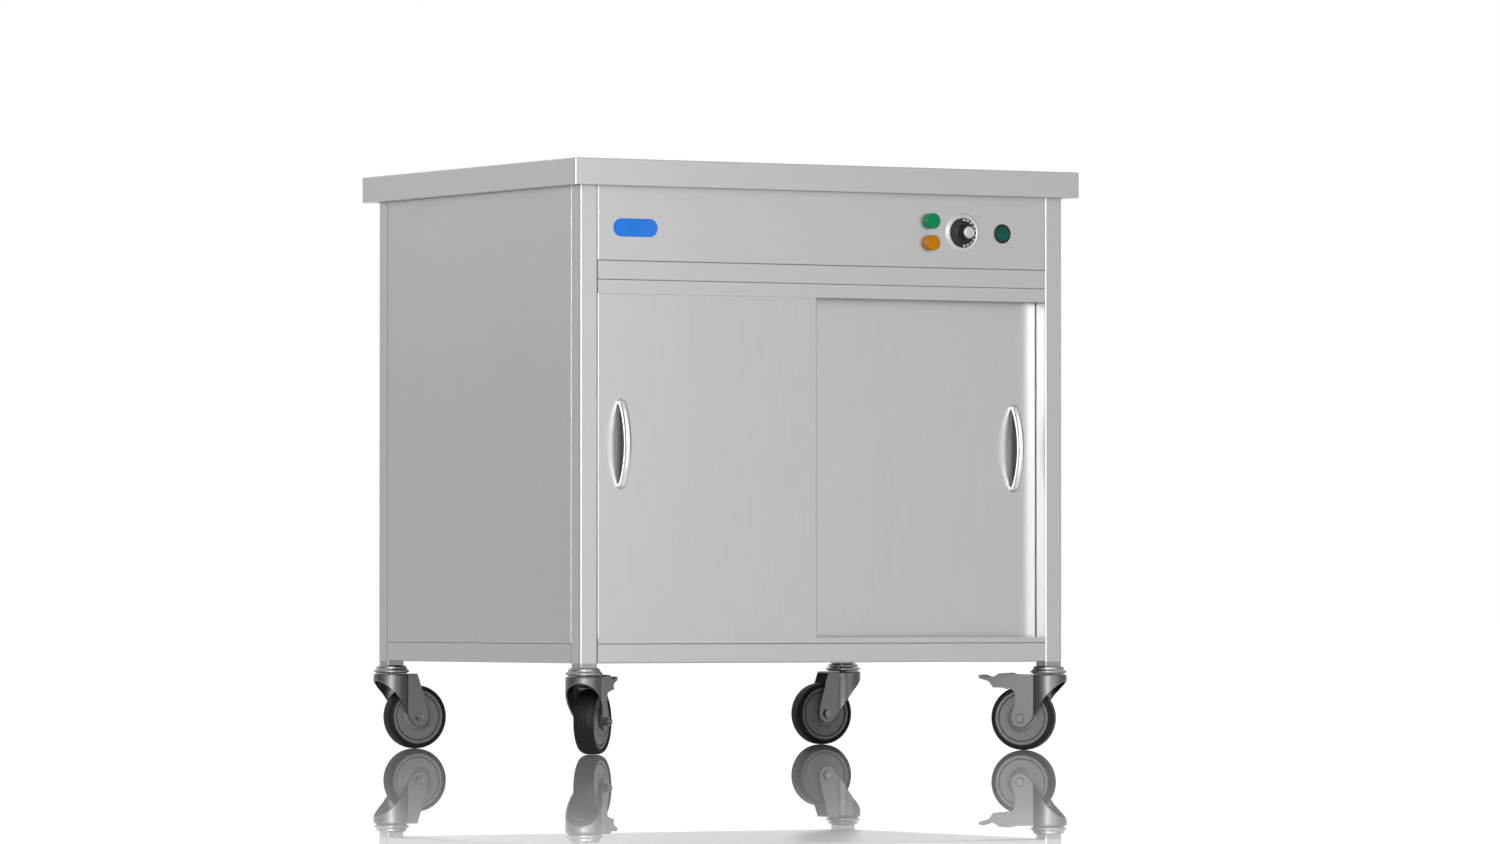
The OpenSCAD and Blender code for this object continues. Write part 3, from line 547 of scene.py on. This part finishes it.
face_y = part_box("control_fascia")[0].y
switch_low, switch_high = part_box("switch_housing")
switch_centre = ((switch_low.x + switch_high.x) / 2, face_y, (switch_low.z + switch_high.z) / 2)
SWITCH_BODY = -32
housing = [(0, -10.2, 0), (12, -10.2, 0.1), (12, 2.1, 0.3), (12.6, 2.39, 0.3), (13.8, 2.39, 0.8),
           (15, 1.2, 0.8), (15, 0, 0.1), (12.7, 0, 0), (12.7, SWITCH_BODY, 0.5), (0, SWITCH_BODY, 0)]
piece_from("switch_housing_moulded", turned(housing, frame_of(switch_centre, OUTWARDS)), abs_black,
           "cabinet", ("switch_housing",))
button = [(0, -6, 0), (11.7, -6, 0.2), (11.7, 2, 0.6), (10.4, 2.4, 0.6), (9.4, 2.15, 0.4), (0, 2.0, 0)]
piece_from("switch_button_moulded", turned(button, frame_of(switch_centre, OUTWARDS)), switch_green,
           "button", ("switch_button",))
print("lamps and switch turned")

# %% [markdown]
# ## Thermostat dial
# A chrome ring is pressed on the fascia. In it turns a black knob with a low skirt, a waisted grip
# with shallow flutes and a flat aluminium cap. The skirt carries the temperatures, printed in white
# from the mark clockwise to the bottom, and a short black line on the ring is the mark itself.

# %% Turn the dial
dial_centre = (sum(v.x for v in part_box("dial_bezel")) / 2, face_y,
               sum(v.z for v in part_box("dial_bezel")) / 2)
dial_place = frame_of(dial_centre, OUTWARDS)
FLUTES = 18
FLUTE_DEPTH = 0.45
KNOB_BACK = 0.6
GRIP_LOW = 7
GRIP_HIGH = 17


def grip_flutes(turn, height):
    """Depth of the flutes round the grip, which fade out towards the skirt and the cap."""
    along = (height - GRIP_LOW) / (GRIP_HIGH - GRIP_LOW)
    fade = max(0.0, math.sin(math.pi * along)) if 0 < along < 1 else 0.0
    return FLUTE_DEPTH * fade * (0.5 - 0.5 * math.cos(FLUTES * turn))


bezel = [(23, 0, 0), (23, 2.4, 0.4), (23.8, 2.9, 0.4), (27.9, 3.0, 0.3), (28.5, 2.4, 0.3),
         (28.7, 1.2, 0.2), (29.4, 1.2, 0.3), (30, 0.7, 0.5), (30, 0, 0)]
knob = [(0, KNOB_BACK, 0), (21.6, KNOB_BACK, 0.2), (22.2, 1.2, 0.4), (22.2, 3.2, 0.6), (21.4, 4, 0.6),
        (17, 4.8, 2), (12.9, 6, 1.6), (11.6, 8, 2), (11.0, 12, 3), (10.6, 17.4, 1), (10.2, 19.4, 0.6),
        (9.5, 19.7, 0.3), (9.3, 19.4, 0), (0, 19.4, 0)]
cap = [(0, 19.4, 0), (9.2, 19.4, 0.1), (9.2, 20.2, 0.3), (8.6, 20.6, 0.3), (7.6, 20.6, 0.1),
       (7.3, 20.4, 0.1), (7.0, 20.6, 0.1), (0, 20.6, 0)]
piece_from("dial_bezel_turned", turned(bezel, dial_place), satin_chrome, "cabinet", ("dial_bezel",))
piece_from("dial_knob_moulded", turned(knob, dial_place, 144, grip_flutes), abs_black, "dial",
           ("dial_knob",))
piece_from("dial_cap_turned", turned(cap, dial_place), aluminium_cap, "dial", ("dial_cap",))
print("dial turned, bezel at", dial_centre)

# %% [markdown]
# Printed figures are a few hundredths of a millimetre thick. Each is set as text, turned into a
# mesh and laid on the skirt with its foot to the centre, as a dial printer does it.

# %% Print the dial
NUMERAL_HEIGHT = 4.4
NUMERAL_RADIUS = 19.6
NUMERAL_STEP = math.radians(20)
TEMPERATURES = range(90, 40, -5)
SKIRT_HEIGHT = 4.55
INK = 0.05
MARK_SIZE = (0.9, 0.12, 2.0)
MARK_OUT = 2.98
MARK_RADIUS = 25.7
MARK_EDGE = 0.03


def print_text(made, text, size_mm, place):
    """Adds a text's mesh to made, at a place."""
    curve = bpy.data.curves.new("figure", "FONT")
    curve.body, curve.size, curve.extrude = text, size_mm * MM, INK * MM
    curve.align_x, curve.align_y = "CENTER", "CENTER"
    holder = bpy.data.objects.new("figure", curve)
    bpy.context.scene.collection.objects.link(holder)
    mesh = bpy.data.meshes.new_from_object(holder.evaluated_get(bpy.context.evaluated_depsgraph_get()))
    mesh.transform(place)
    made.from_mesh(mesh)
    bpy.data.objects.remove(holder)
    bpy.data.curves.remove(curve)
    bpy.data.meshes.remove(mesh)


numerals = bmesh.new()
for i, temperature in enumerate(TEMPERATURES):
    clockwise = i * NUMERAL_STEP
    spoke = Vector((math.sin(clockwise), 0, math.cos(clockwise)))
    centre = Vector(dial_centre) + spoke * NUMERAL_RADIUS * MM + Vector(OUTWARDS) * SKIRT_HEIGHT * MM
    reading = Vector((math.cos(clockwise), 0, -math.sin(clockwise)))
    stance = Matrix((reading, spoke, reading.cross(spoke))).transposed().to_4x4()
    print_text(numerals, str(temperature), NUMERAL_HEIGHT, Matrix.Translation(centre) @ stance)
piece_from("dial_numerals", numerals, print_white, "dial")

mark = bmesh.new()
bmesh.ops.create_cube(mark, size=1)
mark_place = Vector(dial_centre) + Vector((0, -MARK_OUT * MM, MARK_RADIUS * MM))
for vertex in mark.verts:
    vertex.co = Vector([at * size for at, size in zip(vertex.co, MARK_SIZE)]) * MM + mark_place
bmesh.ops.bevel(mark, geom=mark.edges[:], offset=MARK_EDGE * MM, segments=1, affect="EDGES")
piece_from("dial_mark", mark, abs_black, "cabinet")
print("figures printed:", len(TEMPERATURES))

# %% [markdown]
# ## Badge and handle plates
# Both are pills: two half circles joined by straight sides. A stack of pill outlines, each a little
# smaller or further out than the one below, gives the edge, the raised rim and the field.

# %% Stack pill outlines into a plate
def pill_plate(centre, width, height, layers, arc_steps=20):
    """Mesh of a pill plate on the front. layers are (inset, height out) in mm, from the back."""
    made = bmesh.new()
    r = min(width, height) / 2
    half = max(width, height) / 2 - r
    lying = width > height
    rings = []
    for inset, out in layers:
        ring = []
        for end, start in ((1, 0), (-1, math.pi)):
            for k in range(arc_steps):
                turn = start + math.pi * k / (arc_steps - 1)
                long = half * end + (r - inset) * math.sin(turn)
                short = (r - inset) * math.cos(turn)
                x, z = (long, short) if lying else (short, long)
                ring.append(made.verts.new(Vector(centre) + Vector((x, -out, z)) * MM))
        rings.append(ring)
    join_rings(made, rings)
    return made


badge_low, badge_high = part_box("badge")
badge_size = (badge_high - badge_low) / MM
badge_centre = ((badge_low.x + badge_high.x) / 2, face_y, (badge_low.z + badge_high.z) / 2)
BADGE_LAYERS = [(0, 0), (0, 0.8), (0.15, 1.1), (0.5, 1.2), (1.6, 1.2), (2.0, 1.05), (2.3, 0.85), (2.8, 0.8)]
piece_from("badge_enamelled", pill_plate(badge_centre, badge_size.x, badge_size.z, BADGE_LAYERS),
           badge_blue, "cabinet", ("badge",))
print("badge", round(badge_size.x, 1), "x", round(badge_size.z, 1), "mm")

# %% [markdown]
# ## Bow handles
# Each handle is one zinc casting: a narrow plate on the door, and a bow that leaves it in two feet
# and bends out in a long arc. A curve with a bevel could sweep it. Here the section is swept in
# code, because the feet have to flow into the arc and the section is flatter on the door's side.

# %% Sweep the handles
HANDLE_WIDTH = 11
BOW_DEPTH = 8
PLATE_LAYERS = [(0, 0), (0, 1.2), (0.3, 1.7), (0.8, 2.0)]
BOW_FRONT = 5
BOW_FLANK = 2
BOW_BACK_CORNER = 1.2
FRONT_STEPS = 24
HALF_WIDTH, BACK = HANDLE_WIDTH / 2, -BOW_DEPTH / 2
BOW_SECTION = [(HALF_WIDTH * math.cos(math.pi * k / FRONT_STEPS), BOW_DEPTH / 2 - BOW_FRONT +
                BOW_FRONT * math.sin(math.pi * k / FRONT_STEPS)) for k in range(FRONT_STEPS + 1)]
BOW_SECTION += rounded([(-HALF_WIDTH, BACK + BOW_FLANK, 0), (-HALF_WIDTH, BACK, BOW_BACK_CORNER),
                        (HALF_WIDTH, BACK, BOW_BACK_CORNER), (HALF_WIDTH, BACK + BOW_FLANK, 0)])
FOOT_OUT = 7.0
FOOT_START = 0.2
FOOT_PULL = 1.6
FOOT_STEPS = 8
END_GAP = 0.4
SHOULDER = 3


def bow_path(length, reach, steps=48):
    """Points (along the door, out from it) of the bow's middle line, from foot to foot."""
    end = length / 2 - BOW_DEPTH / 2 - END_GAP
    top = reach - BOW_DEPTH / 2
    rise = top - FOOT_OUT
    shoulder = end - SHOULDER
    radius = (shoulder ** 2 + rise ** 2) / (2 * rise)
    arc = [(s, top - radius + math.sqrt(radius ** 2 - s ** 2))
           for s in (shoulder * math.sin(math.pi / 2 * (k / steps * 2 - 1)) for k in range(steps + 1))]
    bend = []
    for k in range(FOOT_STEPS):
        t = k / FOOT_STEPS
        out = (1 - t) ** 2 * FOOT_START + 2 * t * (1 - t) * (FOOT_OUT - FOOT_PULL) + t ** 2 * FOOT_OUT
        bend.append(((1 - t) ** 2 * end + 2 * t * (1 - t) * end + t ** 2 * shoulder, out))
    return [(-s, out) for s, out in bend] + arc + [(s, out) for s, out in reversed(bend)]


def bow_handle(node):
    """The swept bow of one handle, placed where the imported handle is."""
    centre, _, length, reach = front_centre(node)
    made = bmesh.new()
    path = bow_path(length, reach)
    rings = []
    for i, (s, out) in enumerate(path):
        before, after = path[max(i - 1, 0)], path[min(i + 1, len(path) - 1)]
        run = Vector((after[0] - before[0], after[1] - before[1])).normalized()
        normal = Vector((-run.y, run.x))
        ring = []
        for across, deep in BOW_SECTION:
            point = Vector((across, -(out + normal.y * deep), s + normal.x * deep))
            ring.append(made.verts.new(Vector(centre) + point * MM))
        rings.append(ring)
    join_rings(made, rings)
    return made


for side in ("left", "right"):
    centre, width, length, _ = front_centre(f"handle_{side}")
    plate = pill_plate(centre, width, length, PLATE_LAYERS)
    # The plate's dark grey is painted shade for the gap behind the bow.
    piece_from(f"handle_{side}_plate", plate, zinc_painted_shade, f"door_{side}")
    piece_from(f"handle_{side}_cast", bow_handle(f"handle_{side}"), chrome, f"door_{side}",
               (f"handle_{side}",))
print("handles swept")

# %% [markdown]
# ## Studio
# The cabinet stands on a pale gloss floor in a white room. Steel has almost no colour of its own and
# shows what is round it, so the room decides how it looks. The room is bright to the front left, and
# dark to the left and to the right, which makes the front lighter than the side.

# %% Floor
floor_mesh = bpy.data.meshes.new("floor")
FLOOR_HALF = 60
corners = [(-FLOOR_HALF, -FLOOR_HALF, 0), (FLOOR_HALF, -FLOOR_HALF, 0), (FLOOR_HALF, FLOOR_HALF, 0),
           (-FLOOR_HALF, FLOOR_HALF, 0)]
floor_mesh.from_pydata(corners, [], [(0, 1, 2, 3)])
floor = bpy.data.objects.new("floor", floor_mesh)
bpy.context.scene.collection.objects.link(floor)
floor_material = new_material("gloss_acrylic_white", {
    "Base Color": linear("F8F8F8"), "Roughness": 0.006, "IOR": 1.55})[0]
floor_mesh.materials.append(floor_material)
print("floor laid")

# %% Room light
ROOM_PEAK = 2.5
ROOM = [  # azimuth in degrees, 0 in front of the cabinet and positive to its right; brightness
    (-180, 1.12), (-150, 0.74), (-120, 0.12), (-90, 0.1), (-65, 0.75), (-45, 1.85), (-30, 2.5), (-15, 2.0),
    (0, 1.7), (15, 1.85), (30, 0.78), (50, 0.34), (90, 0.42), (130, 1.12), (180, 1.12)]
OVERHEAD = 0.75
OVERHEAD_FROM = 0.35
OVERHEAD_TO = 0.85

world = bpy.data.worlds.new("studio")
bpy.context.scene.world = world
world.use_nodes = True
sky = world.node_tree
sky.nodes.clear()
direction = add(sky, "ShaderNodeSeparateXYZ", None,
                Vector=add(sky, "ShaderNodeTexCoord").outputs["Generated"])
backwards = add(sky, "ShaderNodeMath", {"operation": "MULTIPLY", 1: -1.0}, _0=direction.outputs["Y"])
azimuth = add(sky, "ShaderNodeMath", {"operation": "ARCTAN2"}, _0=direction.outputs["X"],
              _1=backwards.outputs["Value"])
turn = add(sky, "ShaderNodeMapRange", {"From Min": -math.pi, "From Max": math.pi},
           Value=azimuth.outputs["Value"])
walls = ramp(sky, turn.outputs["Result"],
             [((degrees + 180) / 360, (level / ROOM_PEAK,) * 3 + (1,)) for degrees, level in ROOM])
height = add(sky, "ShaderNodeMapRange", {
    "From Min": OVERHEAD_FROM, "From Max": OVERHEAD_TO, "interpolation_type": "SMOOTHSTEP"},
    Value=direction.outputs["Z"])
room = add(sky, "ShaderNodeMix", {"data_type": "RGBA"}, Factor=height.outputs["Result"])
sky.links.new(walls, room.inputs[6])
room.inputs[7].default_value = (OVERHEAD / ROOM_PEAK,) * 3 + (1,)
lit = add(sky, "ShaderNodeBackground", {"Strength": ROOM_PEAK})
sky.links.new(room.outputs[2], lit.inputs["Color"])
backdrop = add(sky, "ShaderNodeBackground", {"Color": (1, 1, 1, 1), "Strength": 1.0})
seen = add(sky, "ShaderNodeLightPath").outputs["Is Camera Ray"]
chosen = add(sky, "ShaderNodeMixShader", None, _0=seen, _1=lit.outputs[0], _2=backdrop.outputs[0])
sky.links.new(chosen.outputs[0], add(sky, "ShaderNodeOutputWorld").inputs["Surface"])
bpy.context.scene.view_settings.view_transform = "Standard"
print("room lit from", len(ROOM), "directions")

# %% [markdown]
# Three soft boxes stand in the room. The large one, by the camera, draws the bright lines on the
# corners and the bright band beside the right post, where door and post mirror it together. Two weak
# ones stand close, and light the front and the side a little more.

# %% Soft boxes
SOFT_BOXES = {  # place, aim, width, height, watts
    "key": ((-3.2, -4.6, 1.6), (0, 0, 0.45), 1.6, 2.2, 114),
    "front_card": ((-0.15, -1.9, 1.0), (-0.15, 0, 0.45), 1.1, 2.0, 1.9),
    "side_card": ((-1.75, 1.9, 1.3), (-0.45, 0, 0.5), 1.2, 1.0, 0.7)}
for name, (place, aim, width, height_m, watts) in SOFT_BOXES.items():
    light = bpy.data.lights.new(name, "AREA")
    light.shape = "RECTANGLE"
    light.size, light.size_y, light.energy = width, height_m, watts
    box = bpy.data.objects.new(name, light)
    box.location = place
    box.rotation_euler = (Vector(aim) - Vector(place)).to_track_quat("-Z", "Y").to_euler()
    box.visible_camera = False
    bpy.context.scene.collection.objects.link(box)
print("soft boxes:", len(SOFT_BOXES))
